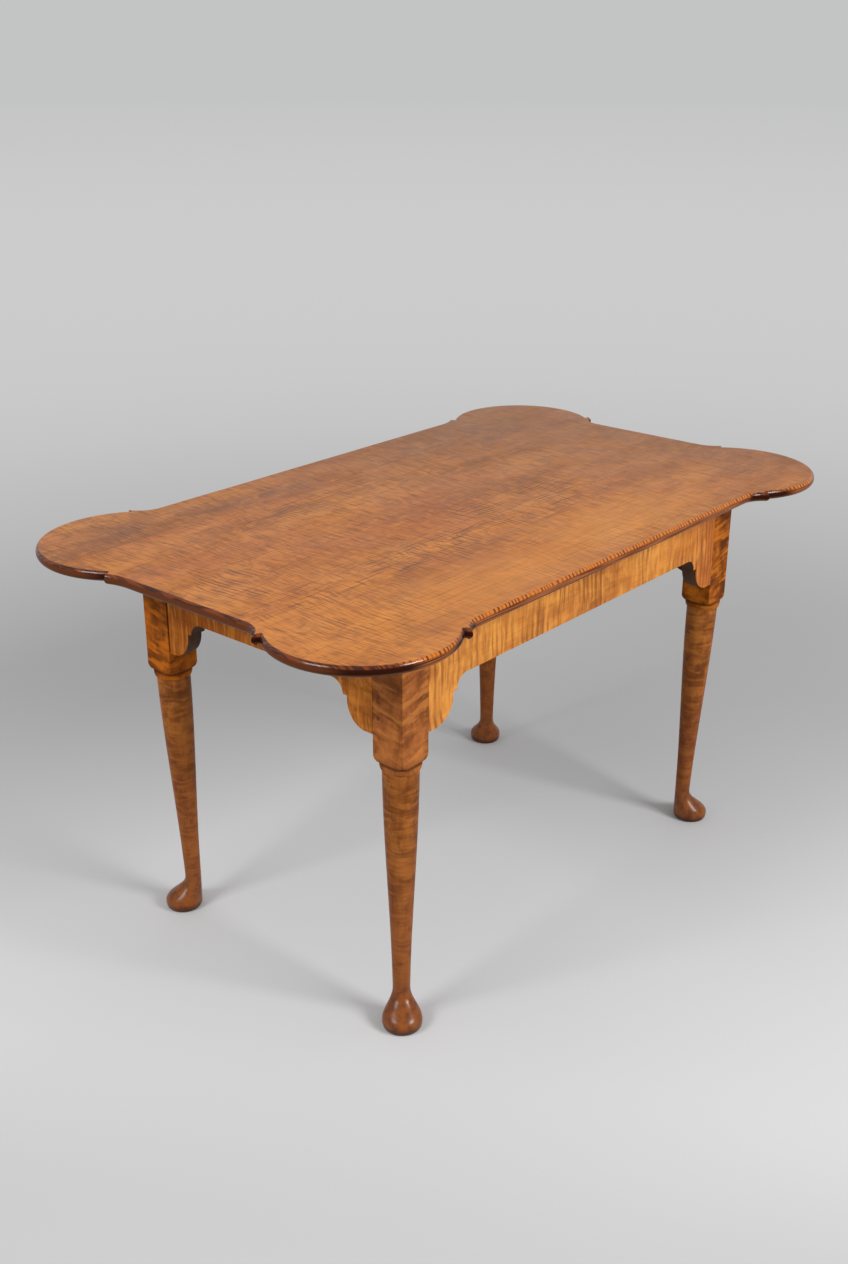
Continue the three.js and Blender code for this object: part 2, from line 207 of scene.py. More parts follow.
def new_object(name, bm, materials, sharp_degrees=28):
    """A piece from a bmesh: smooth faces, with edges sharper than the angle left crisp."""
    bmesh.ops.recalc_face_normals(bm, faces=bm.faces)
    for face in bm.faces:
        face.smooth = True
    for edge in bm.edges:
        edge.smooth = len(edge.link_faces) == 2 and edge.calc_face_angle(0) < math.radians(sharp_degrees)
    mesh = bpy.data.meshes.new(name)
    bm.to_mesh(mesh)
    bm.free()
    for material in materials:
        mesh.materials.append(material)
    piece = bpy.data.objects.new(name, mesh)
    bpy.context.scene.collection.objects.link(piece)
    return piece


def box_mesh(low, high):
    bm = bmesh.new()
    bmesh.ops.create_cube(bm, size=1)
    low, high = Vector(low), Vector(high)
    for vert in bm.verts:
        vert.co = Vector((v * s + m for v, s, m in zip(vert.co, high - low, (low + high) / 2)))
    return bm


def inward_steps(outline):
    """For each point of an anticlockwise outline, the step that moves both its edges in by one unit."""
    result = []
    for before, here, after in zip(outline[-1:] + outline[:-1], outline, outline[1:] + outline[:1]):
        first = (here - before).normalized()
        second = (after - here).normalized()
        left = Vector((-first.y - second.y, first.x + second.x))
        result.append(left / max(1 + first.dot(second), mitre_limit))
    return result


def slab_mesh(outline, profile, matrix=Matrix()):
    """A board from an anticlockwise outline. profile runs down its edge: pairs of inset and height, where
    an inset may be a list with one value for each point."""
    bm = bmesh.new()
    inward = inward_steps(outline)
    rings = []
    for inset, height in profile:
        insets = inset if isinstance(inset, list) else [inset] * len(outline)
        points = [point + step * depth for point, step, depth in zip(outline, inward, insets)]
        rings.append([bm.verts.new(matrix @ Vector((p.x, p.y, height))) for p in points])
    for upper, lower in zip(rings[:-1], rings[1:]):
        for i in range(len(outline)):
            j = (i + 1) % len(outline)
            bm.faces.new((upper[i], lower[i], lower[j], upper[j]))
    bm.faces.new(rings[0])
    bm.faces.new(rings[-1][::-1])
    return bm


def rounded_profile(thickness, radius):
    """Edge of a board whose two arrises are taken off to a small radius."""
    quarter = [(radius * (1 - math.cos(a)), radius * math.sin(a)) for a in steps(QUARTER, 0, arris_steps)]
    upper = [(inset, thickness - radius + rise) for inset, rise in quarter]
    lower = [(inset, radius - rise) for inset, rise in quarter[::-1]]
    return upper + lower


def lathe_mesh(profile, sides, shift=lambda height: Vector((0, 0, 0))):
    """A turning about Z. The profile's pairs of radius and height start and end on the axis."""
    bm = bmesh.new()
    rings = []
    for radius, height in profile[1:-1]:
        centre = shift(height)
        ring = []
        for i in range(sides):
            turn = 2 * math.pi * i / sides
            spoke = Vector((radius * math.cos(turn), radius * math.sin(turn), height))
            ring.append(bm.verts.new(centre + spoke))
        rings.append(ring)
    for lower, upper in zip(rings[:-1], rings[1:]):
        for i in range(sides):
            j = (i + 1) % sides
            bm.faces.new((lower[i], lower[j], upper[j], upper[i]))
    ends = ((profile[0], rings[0], 1), (profile[-1], rings[-1], -1))
    for (_, height), ring, order in ends:
        if abs(ring[0].co.z - height) < tiny:
            bm.faces.new(ring[::-order])
            continue
        tip = bm.verts.new(shift(height) + Vector((0, 0, height)))
        for i in range(sides):
            bm.faces.new((ring[i], ring[(i + 1) % sides], tip))
    bmesh.ops.recalc_face_normals(bm, faces=bm.faces)
    return bm


def combined(base, cutter, operation):
    """base joined with, cut by or kept inside cutter, all three as bmeshes."""
    objects = [new_object("work", bm, []) for bm in (base, cutter)]
    modifier = objects[0].modifiers.new("cut", "BOOLEAN")
    modifier.operation = operation
    modifier.solver = "MANIFOLD"
    modifier.object = objects[1]
    shape = objects[0].evaluated_get(bpy.context.evaluated_depsgraph_get())
    result = bmesh.new()
    result.from_mesh(shape.to_mesh())
    shape.to_mesh_clear()
    for piece in objects:
        mesh = piece.data
        bpy.data.objects.remove(piece)
        bpy.data.meshes.remove(mesh)
    return result


def show(node, ending, bm, materials, sharp_degrees=28, weighted=True):
    """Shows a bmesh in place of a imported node. weighted keeps flat faces flat beside rounded edges."""
    piece = new_object(f"{node}_{ending}", bm, materials, sharp_degrees)
    if weighted:
        modifier = piece.modifiers.new("flat_faces", "WEIGHTED_NORMAL")
        modifier.keep_sharp = True
        modifier.weight = 100
    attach(piece, "root")
    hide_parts(node)


# Each side of the frame has its own frame of reference: +X along the apron, +Y from its outer face
# into the table.

SIDES = {
    "front": (Vector((middle_x, frame_front, 0)), 0, long_half),
    "back": (Vector((middle_x, frame_back, 0)), math.pi, long_half),
    "left": (Vector((frame_left, middle_y, 0)), -QUARTER, short_half),
    "right": (Vector((frame_right, middle_y, 0)), QUARTER, short_half),
}


def side_matrix(side):
    place, turn, _ = SIDES[side]
    return Matrix.Translation(place) @ Matrix.Rotation(turn, 4, "Z")


def moved(bm, matrix):
    bm.transform(matrix)
    return bm


def button_places(side):
    if side in ("front", "back"):
        return (-button_reach_long, 0, button_reach_long)
    return (-button_reach_short, button_reach_short)


# Materials

def colour(red, green, blue):
    """A colour given as it looks on a screen, 0 to 255, for a shader socket."""
    def linear(value):
        value /= 255
        return value / 12.92 if value <= 0.04045 else ((value + 0.055) / 1.055) ** 2.4
    return (linear(red), linear(green), linear(blue), 1)


def along(axis, there, elsewhere):
    """A vector with one value along an axis and another one on the other two axes."""
    return tuple(there if i == axis else elsewhere for i in range(3))


class Graph:
    """A material's nodes, in short calls that each give back a socket."""

    def __init__(self, name, **shader):
        self.material = bpy.data.materials.new(name)
        self.material.use_nodes = True
        self.nodes = self.material.node_tree.nodes
        self.links = self.material.node_tree.links
        self.shader = self.nodes["Principled BSDF"]
        self.place = self.nodes.new("ShaderNodeTexCoord").outputs["Object"]
        for socket, value in shader.items():
            self.join(self.shader.inputs[socket.replace("_", " ").title().replace("Ior", "IOR")], value)

    def join(self, socket, value):
        if isinstance(value, bpy.types.NodeSocket):
            self.links.new(value, socket)
        else:
            socket.default_value = value

    def node(self, kind, inputs, output=0, **settings):
        node = self.nodes.new("ShaderNode" + kind)
        for name, value in settings.items():
            setattr(node, name, value)
        for key, value in inputs.items():
            self.join(node.inputs[key], value)
        return node.outputs[output]

    def calc(self, operation, a, b=0.0, clamp=False):
        return self.node("Math", {0: a, 1: b}, operation=operation, use_clamp=clamp)

    def plus(self, a, b):
        return self.calc("ADD", a, b)

    def minus(self, a, b):
        return self.calc("SUBTRACT", a, b)

    def times(self, a, b):
        return self.calc("MULTIPLY", a, b)

    def scaled(self, vector, scale):
        return self.node("VectorMath", {0: vector, 1: scale}, operation="MULTIPLY")

    def shifted(self, vector, offset):
        return self.node("VectorMath", {0: vector, 1: offset}, operation="ADD")

    def length(self, vector):
        return self.node("VectorMath", {0: vector}, output="Value", operation="LENGTH")

    def axis(self, vector, index):
        return self.node("SeparateXYZ", {0: vector}, output=index)

    def toward(self, x, y):
        """How far a point lies in a level direction, given as a vector."""
        return self.plus(self.times(self.axis(self.place, X), x), self.times(self.axis(self.place, Y), y))

    def facing(self, index):
        """How far the surface faces along an axis, from -1 to 1."""
        return self.axis(self.node("NewGeometry", {}, output="Normal"), index)

    def bands(self, vector, axis, pitch, wander):
        """Dark and light bands square to an axis, at a pitch in metres, from 0 to 1 and a little uneven."""
        inputs = {
            "Vector": self.scaled(vector, along(axis, 1.0, 0.16)),
            "Scale": math.pi / 10 / pitch,  # at a scale of 1 the wave turns through 20 radians in a metre
            "Distortion": wander,
            "Detail": 3.0,
            "Detail Scale": 0.6,
        }
        return self.node("TexWave", inputs, output="Fac", bands_direction="XYZ"[axis])

    def noise(self, vector, scale, detail=2, roughness=0.5, distortion=0.0):
        """Soft noise from 0 to 1. scale is one number, or one for each axis."""
        if isinstance(scale, tuple):
            vector, scale = self.scaled(vector, scale), 1.0
        inputs = {"Vector": vector, "Scale": scale, "Detail": detail, "Roughness": roughness}
        return self.node("TexNoise", {**inputs, "Distortion": distortion})

    def drift(self, vector, scale, amount):
        """The vector pushed about by a soft noise, so that straight figure wanders."""
        inputs = {"Vector": vector, "Scale": scale, "Detail": 2.0}
        push = self.node("TexNoise", inputs, output="Color")
        push = self.shifted(push, (-0.5, -0.5, -0.5))
        return self.shifted(vector, self.scaled(push, amount))

    def spread(self, value, low, high, start=0.0, stop=1.0):
        """The value from low to high becomes start to stop, softly, and no further."""
        inputs = {"Value": value, 1: low, 2: high, 3: start, 4: stop}
        return self.node("MapRange", inputs, interpolation_type="SMOOTHSTEP")

    def ramp(self, value, *stops):
        node = self.nodes.new("ShaderNodeValToRGB")
        self.links.new(value, node.inputs[0])
        for position, _ in stops[2:]:
            node.color_ramp.elements.new(position)
        for element, (position, shade) in zip(node.color_ramp.elements, stops):
            element.position = position
            element.color = shade
        return node.outputs[0]

    def blend(self, factor, a, b):
        node = self.nodes.new("ShaderNodeMix")
        node.data_type = "RGBA"
        for index, value in ((0, factor), (6, a), (7, b)):
            self.join(node.inputs[index], value)
        return node.outputs[2]

    def tint(self, base, tone, value, low, high, amount):
        """base turned towards another colour by up to amount, as the value goes from low to high."""
        return self.blend(self.spread(value, low, high, 0, amount), base, tone)

    def spots(self, places, softness=0.5):
        """1 inside any of some ellipses on the top, each a middle and two reaches, and 0 outside them."""
        result = 0.0
        for x, y, reach_x, reach_y in places:
            away = self.shifted(self.place, (-x, -y, 0))
            away = self.length(self.scaled(away, (1 / reach_x, 1 / reach_y, 0)))
            result = self.calc("MAXIMUM", result, self.spread(away, 1 + softness, 1 - softness))
        return result

    def bump(self, height, strength, distance):
        inputs = {"Height": height, "Strength": strength, "Distance": distance}
        return self.node("Bump", inputs)

    def relief(self, coarse, fine, strength, distance):
        """Bump from two textures, the first a little stronger than the second."""
        return self.bump(self.plus(self.times(coarse, 0.6), self.times(fine, 0.4)), strength, distance)

    def finished(self, base, rough, normal, specular=None):
        """The material, with its surface joined to the shader."""
        self.join(self.shader.inputs["Base Color"], base)
        self.join(self.shader.inputs["Roughness"], rough)
        self.join(self.shader.inputs["Normal"], normal)
        if specular is not None:
            self.join(self.shader.inputs["Specular IOR Level"], specular)
        return self.material


# Where the curl of the top shows in clusters of short dark streaks: the middle of each, and its reaches
TOP_CURL_SPOTS = (
    (-0.470, -0.245, 0.090, 0.095),
    (-0.505, -0.010, 0.060, 0.060),
    (-0.215, -0.150, 0.135, 0.060),
    (-0.010, -0.075, 0.055, 0.100),
    (0.135, -0.070, 0.090, 0.100),
    (0.165, 0.240, 0.085, 0.050),
    (-0.455, 0.285, 0.060, 0.045),
)
# Where long dark lines follow the grain
TOP_LINE_SPOTS = (
    (-0.300, -0.120, 0.300, 0.045),
    (0.060, -0.090, 0.160, 0.080),
    (-0.140, 0.180, 0.160, 0.050),
    (0.320, 0.105, 0.080, 0.025),
)
# Where fine close lines run along the front edge
TOP_FINE_SPOTS = (
    (-0.060, -0.325, 0.380, 0.040),
)
# Where the wood is darker
TOP_DARK_SPOTS = (
    (-0.455, 0.288, 0.045, 0.022),
    (-0.618, 0.300, 0.024, 0.090),
    (-0.200, 0.270, 0.150, 0.018),
    (-0.240, 0.165, 0.160, 0.022),
    (0.190, 0.115, 0.110, 0.018),
    (0.500, -0.265, 0.070, 0.032),
    (0.560, -0.150, 0.070, 0.150),
    (0.330, 0.240, 0.160, 0.060),
)
# Where it is more golden
TOP_GOLD_SPOTS = (
    (-0.250, -0.285, 0.240, 0.080),
    (0.060, -0.270, 0.200, 0.070),
)
VERY_SOFT = 0.9
TICK_PITCH = 0.0085
EDGE_BAR_PITCH = 0.0084
# How far the top faces up where its edge starts to round over, and where all of it is edge
ROUNDED = (0.992, 0.94)


def top_maple(name, seed, turn, light, mid, dark):
    """Varnished top: figure across the grain in clusters, fine grain along it, and dark end grain."""
    g = Graph(name, ior=1.5)
    spun = g.node("VectorRotate", {"Vector": g.place, "Angle": turn}, rotation_type="Z_AXIS")
    wood = g.drift(g.shifted(spun, (seed, seed, 0)), 6.0, (0.030, 0.012, 0))
    wood = g.drift(wood, 22.0, (0.006, 0.004, 0))

    # Broad streaks along the grain, a redder cast in places, and small clouded patches
    cloud = g.noise(wood, (2.2, 11.0, 3.0), detail=5, roughness=0.62)
    base = g.ramp(cloud, (0.28, dark), (0.48, mid), (0.68, light))
    cast = g.noise(g.shifted(wood, (0.4, 1.9, 0)), (2.6, 6.0, 3.0), detail=3)
    base = g.tint(base, colour(182, 98, 50), cast, 0.46, 0.64, 0.45)
    patch = g.noise(wood, (24.0, 40.0, 20.0), detail=5, roughness=0.7, distortion=0.8)
    base = g.tint(base, dark, patch, 0.50, 0.68, 0.64)
    base = g.tint(base, light, patch, 0.48, 0.32, 0.60)
    grain = g.noise(wood, (8.0, 330.0, 60.0), detail=4, roughness=0.7)
    base = g.tint(base, dark, grain, 0.50, 0.70, 0.46)

    # Curl all over, broad and then fine
    soft = g.noise(wood, (80.0, 12.0, 9.0), detail=3, roughness=0.6)
    base = g.tint(base, dark, soft, 0.48, 0.66, 0.46)
    close = g.noise(wood, (340.0, 24.0, 13.0))
    base = g.tint(base, colour(104, 54, 22), close, 0.50, 0.64, 0.52)

    # Short dark streaks, most of them in the clusters
    broken = g.noise(wood, (12.0, 18.0, 5.0), detail=3)
    where = g.times(g.spots(TOP_CURL_SPOTS), g.spread(broken, 0.38, 0.52, 0.45, 1.0))
    where = g.calc("ADD", where, g.spread(broken, 0.53, 0.66, 0, 0.40), clamp=True)
    ticks = g.spread(g.bands(wood, X, TICK_PITCH, 8.0), 0.55, 0.90)
    cut = g.noise(g.shifted(wood, (2.3, 0.7, 0)), (80.0, 27.0, 5.0))
    streak = g.times(g.times(ticks, g.spread(cut, 0.42, 0.56)), where)
    base = g.blend(g.times(streak, 0.66), base, colour(92, 47, 22))

    # Fine lines at the front, and long ones along the grain
    fine = g.noise(wood, (330.0, 20.0, 16.0), detail=1)
    lines = g.times(g.spread(fine, 0.50, 0.62, 0, 0.55), g.spots(TOP_FINE_SPOTS))
    base = g.blend(lines, base, colour(100, 54, 26))
    ray = g.noise(wood, (11.0, 250.0, 20.0))
    strength = g.plus(g.times(g.spots(TOP_LINE_SPOTS), 0.46), 0.16)
    base = g.blend(g.times(g.spread(ray, 0.56, 0.66), strength), base, colour(92, 48, 26))

    # Golden wood and darker wood in places, duller and greyer towards the far right corner as a painted
    # sheen, and a few dark specks
    golden = g.times(g.spots(TOP_GOLD_SPOTS, VERY_SOFT), g.spread(grain, 0.62, 0.45, 0.20, 0.50))
    base = g.blend(golden, base, colour(228, 148, 56))
    dull = g.times(g.spots(TOP_DARK_SPOTS, VERY_SOFT), g.spread(patch, 0.35, 0.60, 0.12, 0.42))
    base = g.blend(dull, base, colour(96, 58, 34))
    # painted sheen: the top greys towards the far right corner
    far = g.toward(0.9, 0.6)
    base = g.tint(base, colour(134, 90, 58), far, -0.20, 0.75, 0.48)
    specks = g.node("TexVoronoi", {"Vector": g.place, "Scale": 11.0}, output="Distance")
    base = g.tint(base, colour(46, 24, 12), specks, 0.024, 0.010, 0.85)

    # The edge is glossier than the face, and dull again on its underside
    rise = g.facing(Z)
    # the edge's colour includes painted shade and a painted reflection of the floor on its lower half
    base = g.blend(g.spread(rise, *ROUNDED), base, top_edge_colour_and_shade(g, wood, close, cut, rise))
    sheen = g.times(g.spread(rise, *ROUNDED, 0.26, 0.42), g.spread(rise, 0.60, 0.20, 1.0, 0.08))
    smear = g.noise(g.place, (9.0, 14.0, 9.0), detail=4, roughness=0.6)
    rough = g.minus(g.spread(smear, 0.25, 0.8, 0.30, 0.44), g.spread(rise, *ROUNDED, 0, 0.19))
    return g.finished(base, rough, g.relief(close, grain, 0.22, 0.0005), sheen)


def top_edge_colour_and_shade(g, wood, close, cut, rise):
    """End grain takes the stain darkest, and the curl shows plainest on the upper half of the long edges."""
    side = g.calc("ABSOLUTE", g.facing(X))
    ends = g.spread(side, 0.12, 0.38)
    bars = g.spread(g.bands(wood, X, EDGE_BAR_PITCH, 9.0), 0.42, 0.88)
    bars = g.times(bars, g.spread(cut, 0.34, 0.56, 0.35, 0.95))
    upper = g.blend(bars, colour(200, 110, 24), colour(86, 38, 10))
    end_grain = g.blend(g.spread(close, 0.4, 0.6), colour(118, 54, 18), colour(62, 24, 8))
    upper = g.blend(ends, upper, end_grain)
    # The lower half of a long edge is greyer and darker: painted shade and a painted reflection of the
    # floor.
    strands = g.noise(g.place, (12.0, 12.0, 900.0))
    lower = g.blend(g.spread(strands, 0.42, 0.60), colour(150, 90, 54), colour(90, 44, 22))
    # The lower half of an end is painted shade, darkest where the lobes turn diagonal.
    end_middle_shade = g.blend(g.spread(side, 0.80, 0.96), colour(48, 18, 8), colour(98, 52, 28))
    edge = g.blend(g.spread(rise, 0.50, 0.22), upper, g.blend(ends, lower, end_middle_shade))
    # The underside of an end is painted grey: a painted reflection of the floor.
    return g.blend(g.times(g.spread(rise, -0.25, -0.55), ends), edge, colour(92, 62, 46))


def curly_maple(
    name, grain, tilt, light, mid, dark, pitch, reach, waves, lines, mottle, shine, part="", cast=None,
):
    """Varnished curly maple. grain is the axis that the grain follows and the stripes cross it at a tilt.
    pitch is the distance between stripes and reach their length. waves, lines and mottle say how strongly
    the soft stripes, the thin ones and the blotches show. cast turns the wood to another colour along an
    axis: the axis, where it starts and ends, how much, and the colour. part is the part of a leg."""
    g = Graph(name, ior=1.5)
    lean = {"Vector": g.place, "Axis": (1, -1, 0) if grain == Z else (0, 0, 1), "Angle": tilt}
    spun = g.node("VectorRotate", lean, rotation_type="AXIS_ANGLE")
    wood = g.drift(spun, 9.0, along(grain, 0.020, 0.008))
    wood = g.drift(wood, 45.0, along(grain, 0.0035, 0.001))

    deep = tuple(0.4 * a + 0.6 * b for a, b in zip(dark, colour(44, 20, 8)))
    cloud = g.noise(wood, along(grain, 5.0, 20.0), detail=4, roughness=0.6)
    base = g.ramp(cloud, (0.32, dark), (0.48, mid), (0.68, light))
    blotch = g.noise(wood, along(grain, 48.0, 60.0), detail=4, roughness=0.65)
    base = g.tint(base, dark, blotch, 0.50, 0.68, mottle)
    base = g.tint(base, light, blotch, 0.48, 0.34, mottle)
    if cast:
        way, start, end, amount, tone = cast
        base = g.tint(base, tone, g.axis(wood, way), start, end, amount)

    # Soft stripes, and gleams between them
    soft = g.noise(wood, along(grain, 0.75 / pitch, 0.9 / reach), roughness=0.55)
    base = g.tint(base, dark, soft, 0.46, 0.66, waves)
    gleam = g.noise(g.shifted(wood, (1.7, 0.4, 2.9)), along(grain, 0.9 / pitch, 1.1 / reach))
    base = g.tint(base, light, gleam, 0.50, 0.66, waves)

    # Thin dark stripes, in patches
    close = g.bands(wood, grain, pitch, 7.0)
    patch = g.noise(wood, along(grain, 16.0, 0.8 / reach), detail=3)
    thin = g.times(g.spread(close, 0.50, 0.92), g.spread(patch, 0.42, 0.62, 0.05, 1.0))
    base = g.blend(g.times(thin, lines), base, deep)
    hair = g.noise(wood, along(grain, 2.6 / pitch, 1.2 / reach), detail=1)
    base = g.tint(base, deep, hair, 0.52, 0.66, 0.5 * lines)
    fibre = g.noise(wood, along(grain, 14.0, 320.0), detail=4, roughness=0.65)
    base = g.tint(base, deep, fibre, 0.50, 0.74, 0.26)

    smear = g.noise(g.place, (16.0, 16.0, 12.0), detail=4, roughness=0.6)
    gloss = g.spread(smear, 0.3, 0.7, shine * 0.8, shine * 1.2)
    rough = g.spread(smear, 0.25, 0.8, 0.26, 0.42)
    height = g.axis(g.place, Z)
    if part:
        # painted shade under the square of the post, as a dark line and a faint haze
        base = painted_ledge_shade(g, base, height)
    if part == "post":
        base = worn_corners(g, base, height)
    if part == "shaft":
        # The feet are darker and glossier, as they are rubbed by brooms and shoes; their dark rim at the
        # floor is painted shade
        low = g.spread(height, foot_rub_top, foot_rub_full)
        base = rubbed_foot_and_sole_shade(g, base, height, blotch, low)
        gloss = g.plus(gloss, g.times(low, 0.22))
        rough = g.minus(rough, g.times(low, 0.06))
    return g.finished(base, rough, g.relief(close, fibre, 0.25, 0.0005), gloss)


def painted_ledge_shade(g, base, height):
    """Painted shade in the crease under the square of the post: a dark line in a faint haze."""
    off = g.calc("ABSOLUTE", g.minus(height, ledge_height))
    base = g.tint(base, colour(70, 34, 18), off, 0.016, 0.001, 0.26)
    return g.tint(base, colour(48, 22, 12), off, 0.004, 0.0008, 0.60)


def worn_corners(g, base, height):
    """The corners of a post are worn dark, where the surface turns from one face to the next."""
    corner = g.calc("ABSOLUTE", g.times(g.facing(X), g.facing(Y)))
    worn = g.times(g.spread(corner, 0.20, 0.42, 0, 0.55), g.spread(height, ledge_height, shoulder_top))
    return g.blend(worn, base, colour(84, 36, 14))


def rubbed_foot_and_sole_shade(g, base, height, blotch, low):
    """A leg darkens downwards, and its foot has brown blotches and a dark rim at the floor, the rim painted
    shade.
    """
    base = g.tint(base, colour(116, 62, 40), height, shaft_dark_top, shaft_dark_full, 0.45)
    brown = g.times(low, g.spread(blotch, 0.62, 0.40, 0.25, 0.85))
    base = g.blend(brown, base, colour(138, 74, 22))
    stain = g.times(low, g.spread(blotch, 0.38, 0.68, 0, 0.55))
    base = g.blend(stain, base, colour(76, 36, 10))
    # painted shade: the foot darkened at the floor, below its widest point
    return g.tint(base, colour(46, 20, 8), height, sole_shade_top, sole_shade_full, 0.75)


def bare_maple(name, grain, light, dark):
    """Unvarnished inner faces: darkened by age and, in the tones given for them, by painted shade, with the
    marks of the plane along the grain.
    """
    g = Graph(name, ior=1.45, specular_ior_level=0.25)
    wood = g.drift(g.place, 6.0, (0.02, 0.02, 0.02))
    fibre = g.noise(wood, along(grain, 8.0, 210.0), detail=4, roughness=0.65)
    cloud = g.noise(wood, along(grain, 3.0, 14.0), detail=3)
    base = g.ramp(cloud, (0.30, dark), (0.70, light))
    base = g.tint(base, dark, fibre, 0.45, 0.78, 0.5)
    planed = g.scaled(wood, along(grain, 0.0, 38.0))
    marks = g.node("TexWave", {"Vector": planed, "Scale": 1.0, "Distortion": 2.0})
    return g.finished(base, g.spread(fibre, 0.3, 0.8, 0.66, 0.82), g.relief(marks, fibre, 0.3, 0.0008))


def peg_end(name, light, dark):
    """End grain of a peg, with its pores."""
    g = Graph(name, ior=1.5, specular_ior_level=0.08)
    pores = g.noise(g.place, 1500.0)
    base = g.ramp(pores, (0.35, dark), (0.70, light))
    return g.finished(base, g.spread(pores, 0.3, 0.7, 0.38, 0.55), g.bump(pores, 0.3, 0.0003))


def screw_steel():
    g = Graph("screw_steel_turned", metallic=1.0)
    haze = g.noise(g.place, 700.0, detail=3)
    base = g.ramp(haze, (0.35, colour(118, 116, 112)), (0.65, colour(168, 168, 166)))
    return g.finished(base, g.spread(haze, 0.3, 0.7, 0.3, 0.55), g.bump(haze, 0.15, 0.0002))


# Top

def lobe_inset(radius, ear):
    """How far a lobe's centre lies inside the straight edge that its ear stands off from."""
    return (radius + ear_step) * math.sin(ear_turn) - ear


def lobe_end(radius, ear):
    """One end of a lobe, round its centre: the last of its arc, the step to the ear, and the cove."""
    cove_radius = (ear_cove_run ** 2 + ear ** 2) / (2 * ear)
    cove_x = (radius + ear_step) * math.cos(ear_turn) - ear_cove_run
    cove_y = lobe_inset(radius, ear) + cove_radius
    ear_angle = math.atan2(ear - cove_radius, ear_cove_run)
    lobe_return = arc(0, 0, radius, radius, QUARTER, ear_turn, lobe_return_steps)
    cove = arc(cove_x, cove_y, cove_radius, cove_radius, ear_angle, -QUARTER, cove_steps)
    return lobe_return + cove


def corner_outline(turn, radius, end_ear, side_ear):
    """The outline round one lobe, anticlockwise. turn is the corner that it is at."""
    centre = Vector((
        top_straight_length / 2 - lobe_inset(radius, end_ear),
        top_straight_width / 2 - lobe_inset(radius, side_ear),
    ))
    end_half = [point.yx for point in lobe_end(radius, end_ear)][::-1]
    side_half = lobe_end(radius, side_ear)
    quarter = arc(0, 0, radius, radius, 0, QUARTER, lobe_steps)[1:-1]
    corner = [point + centre for point in end_half + quarter + side_half]
    corner = [Vector((point.x * turn[0] + middle_x, point.y * turn[1] + middle_y)) for point in corner]
    return corner if turn[0] * turn[1] > 0 else corner[::-1]


# The corner of each lobe, its radius, and how far its ears stand off the straight end and side
LOBES = (
    ((1, 1), 0.136, 0.035, 0.011),
    ((-1, 1), 0.146, 0.008, 0.031),
    ((-1, -1), 0.136, 0.023, 0.019),
    ((1, -1), 0.145, 0.019, 0.023),
)


def top_outline():
    """Round the top, with points along the straight edges too, so that their rounding can vary."""
    outline = [point for lobe in LOBES for point in corner_outline(*lobe)]
    spaced = []
    for here, after in zip(outline, outline[1:] + outline[:1]):
        count = max(1, round((after - here).length / edge_point_spacing))
        spaced += [here.lerp(after, i / count) for i in range(count)]
    return spaced


def make_top(materials, bare):
    outline = top_outline()
    depths = []
    for point in outline:
        wander = noise.noise(Vector((point.x, point.y, 0)) * edge_wander_scale)
        depths.append(edge_round_depth * (1 + edge_round_wander * wander))
    half = (top_height - frame_top) / 2
    profile = []
    for angle in steps(QUARTER, -QUARTER, edge_steps):
        insets = [depth * (1 - math.cos(angle)) for depth in depths]
        profile.append((insets, frame_top + half + half * math.sin(angle)))
    boards = {
        "top_board_front": (None, front_seam),
        "top_board_middle": (front_seam, back_seam),
        "top_board_back": (back_seam, None),
    }
    for (name, cuts), material in zip(boards.items(), materials):
        bm = slab_mesh(outline, profile)
        for seam, keep in zip(cuts, (1, -1)):
            if seam is None:
                continue
            everything = bm.verts[:] + bm.edges[:] + bm.faces[:]
            plane = {"plane_co": (0, seam, 0), "plane_no": (0, keep, 0)}
            cut = bmesh.ops.bisect_plane(bm, geom=everything, clear_inner=True, **plane)
            loop = [item for item in cut["geom_cut"] if isinstance(item, bmesh.types.BMEdge)]
            bmesh.ops.holes_fill(bm, edges=loop)
        for side in SIDES:
            for x in button_places(side):
                bm = combined(bm, moved(screw_mesh(x, fit), side_matrix(side)), "DIFFERENCE")
        for face in bm.faces:
            face.material_index = 1 if face.normal.z < underside_normal else 0
        show(name, "shaped", bm, [material, bare])


# Legs

def foot_swell(height):
    """How much of the foot's swelling there is: 1 at its widest and 0 at the ankle."""
    rise = (height - foot_widest_height) / (ankle_height - foot_widest_height)
    return ((1 + math.cos(math.pi * rise)) / 2) ** foot_flare


def leg_shift(height):
    """How far out along the diagonal the turning's centre lies."""
    if height >= shaft_top:
        out = 0
    elif height >= ankle_height:
        out = -ankle_lean * (shaft_top - height) / (shaft_top - ankle_height)
    elif height <= foot_widest_height:
        out = foot_throw
    else:
        out = (foot_throw + ankle_lean) * foot_swell(height) - ankle_lean
    return Vector((out, out, 0)) / math.sqrt(2)


def shaft_profile():
    profile = [(0, 0)]
    sole = foot_radius - foot_undercut
    for angle in steps(0, QUARTER, foot_edge_steps):
        profile.append((sole + foot_undercut * math.sin(angle), foot_widest_height * (1 - math.cos(angle))))
    for height in steps(foot_widest_height, ankle_height, foot_steps)[1:]:
        profile.append((ankle_radius + (foot_radius - ankle_radius) * foot_swell(height), height))
    third = (shaft_top - ankle_height) / 3
    steer = (
        Vector((ankle_radius, ankle_height)),
        Vector((ankle_radius + shaft_low_rise, ankle_height + third)),
        Vector((shaft_top_radius - shaft_high_drop, shaft_top - third)),
        Vector((shaft_top_radius, shaft_top)),
    )
    for t in steps(0, 1, shaft_steps)[1:]:
        weights = ((1 - t) ** 3, 3 * t * (1 - t) ** 2, 3 * t ** 2 * (1 - t), t ** 3)
        point = sum((w * p for w, p in zip(weights, steer)), Vector((0, 0)))
        profile.append((point.x, point.y))
    return profile + [(shaft_top_radius, shaft_top + overrun), (0, shaft_top + overrun)]


